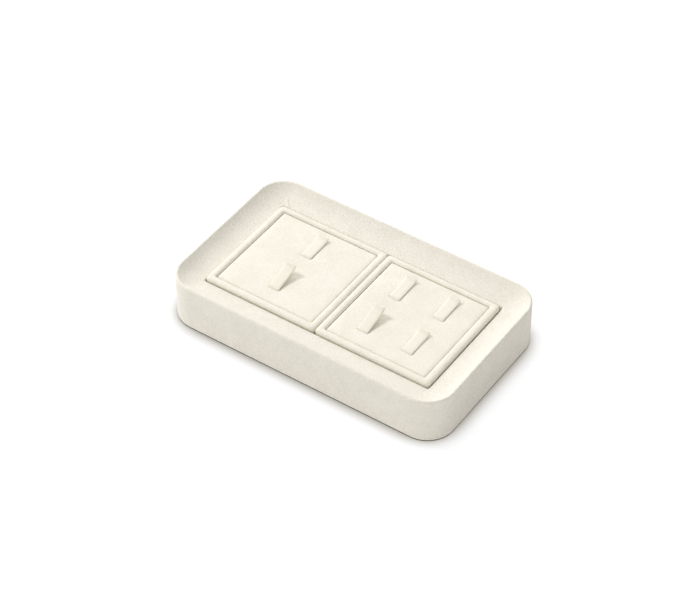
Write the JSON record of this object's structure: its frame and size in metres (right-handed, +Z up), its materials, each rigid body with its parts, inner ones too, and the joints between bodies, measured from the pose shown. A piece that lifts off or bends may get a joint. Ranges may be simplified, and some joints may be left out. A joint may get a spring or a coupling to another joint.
{
  "type": "jewelry display stand",
  "caption": "Low cloth-covered ring tray with a dished rim and a pair of lift-out bordered pads that carry sprung clips.",
  "frame": {"origin": "middle of the underside, on the surface that the tray rests on", "axes": "+X along the tray's long side, +Y from front to back, +Z up; the clips' fixed ends are towards -Y"},
  "size_m": [0.1702, 0.1014, 0.0292],
  "materials": {
    "suede": "cream brushed suede cloth",
    "sleeve_suede": "thin cream suede cloth",
    "base_suede": "cream suede cloth, pressed flat",
    "board": "sanded fibreboard",
    "foam": "soft open-cell foam",
    "steel": "bare spring steel"
  },
  "bodies": {
    "tray": {"base_board": "board", "rim_frame": "board", "rim_cover": "suede", "well_lining": "suede", "base_cloth": "base_suede"},
    "left_insert": {"left_insert_base": "board", "left_border_frame": "board", "left_border_cover": "suede", "left_pad_board": "board", "left_pad_foam": "foam", "left_pad_cover": "suede", "left_clip_tacks": "steel", "left_front_clip_foot": "steel", "left_back_clip_foot": "steel"},
    "right_insert": {"right_insert_base": "board", "right_border_frame": "board", "right_border_cover": "suede", "right_pad_board": "board", "right_pad_foam": "foam", "right_pad_cover": "suede", "right_clip_tacks": "steel", "right_front_inner_clip_foot": "steel", "right_front_outer_clip_foot": "steel", "right_back_inner_clip_foot": "steel", "right_back_outer_clip_foot": "steel"},
    "left_front_clip": {"left_front_clip_spring": "steel", "left_front_clip_sleeve": "sleeve_suede"},
    "left_back_clip": {"left_back_clip_spring": "steel", "left_back_clip_sleeve": "sleeve_suede"},
    "right_front_inner_clip": {"right_front_inner_clip_spring": "steel", "right_front_inner_clip_sleeve": "sleeve_suede"},
    "right_front_outer_clip": {"right_front_outer_clip_spring": "steel", "right_front_outer_clip_sleeve": "sleeve_suede"},
    "right_back_inner_clip": {"right_back_inner_clip_spring": "steel", "right_back_inner_clip_sleeve": "sleeve_suede"},
    "right_back_outer_clip": {"right_back_outer_clip_spring": "steel", "right_back_outer_clip_sleeve": "sleeve_suede"}
  },
  "joints": [
    {"name": "left_insert_lift", "type": "slide", "parent": "tray", "child": "left_insert", "axis": [0, 0, 1], "range_m": [0, 0.02]},
    {"name": "left_front_clip_lift", "type": "hinge", "parent": "left_insert", "child": "left_front_clip", "pos_m": [-0.03555, -0.0207, 0.0235], "axis": [1, 0, 0], "range_deg": [-12, 13], "stiffness_Nm_per_rad": 0.01},
    {"name": "left_back_clip_lift", "type": "hinge", "parent": "left_insert", "child": "left_back_clip", "pos_m": [-0.03555, 0.0084, 0.0235], "axis": [1, 0, 0], "range_deg": [0, 25], "stiffness_Nm_per_rad": 0.01},
    {"name": "right_insert_lift", "type": "slide", "parent": "tray", "child": "right_insert", "axis": [0, 0, 1], "range_m": [0, 0.02]},
    {"name": "right_front_inner_clip_lift", "type": "hinge", "parent": "right_insert", "child": "right_front_inner_clip", "pos_m": [0.02035, -0.0207, 0.0235], "axis": [1, 0, 0], "range_deg": [-12, 13], "stiffness_Nm_per_rad": 0.01},
    {"name": "right_front_outer_clip_lift", "type": "hinge", "parent": "right_insert", "child": "right_front_outer_clip", "pos_m": [0.04735, -0.0207, 0.0235], "axis": [1, 0, 0], "range_deg": [0, 25], "stiffness_Nm_per_rad": 0.01},
    {"name": "right_back_inner_clip_lift", "type": "hinge", "parent": "right_insert", "child": "right_back_inner_clip", "pos_m": [0.02035, 0.0084, 0.0235], "axis": [1, 0, 0], "range_deg": [0, 25], "stiffness_Nm_per_rad": 0.01},
    {"name": "right_back_outer_clip_lift", "type": "hinge", "parent": "right_insert", "child": "right_back_outer_clip", "pos_m": [0.04735, 0.0084, 0.0235], "axis": [1, 0, 0], "range_deg": [0, 25], "stiffness_Nm_per_rad": 0.01}
  ]
}
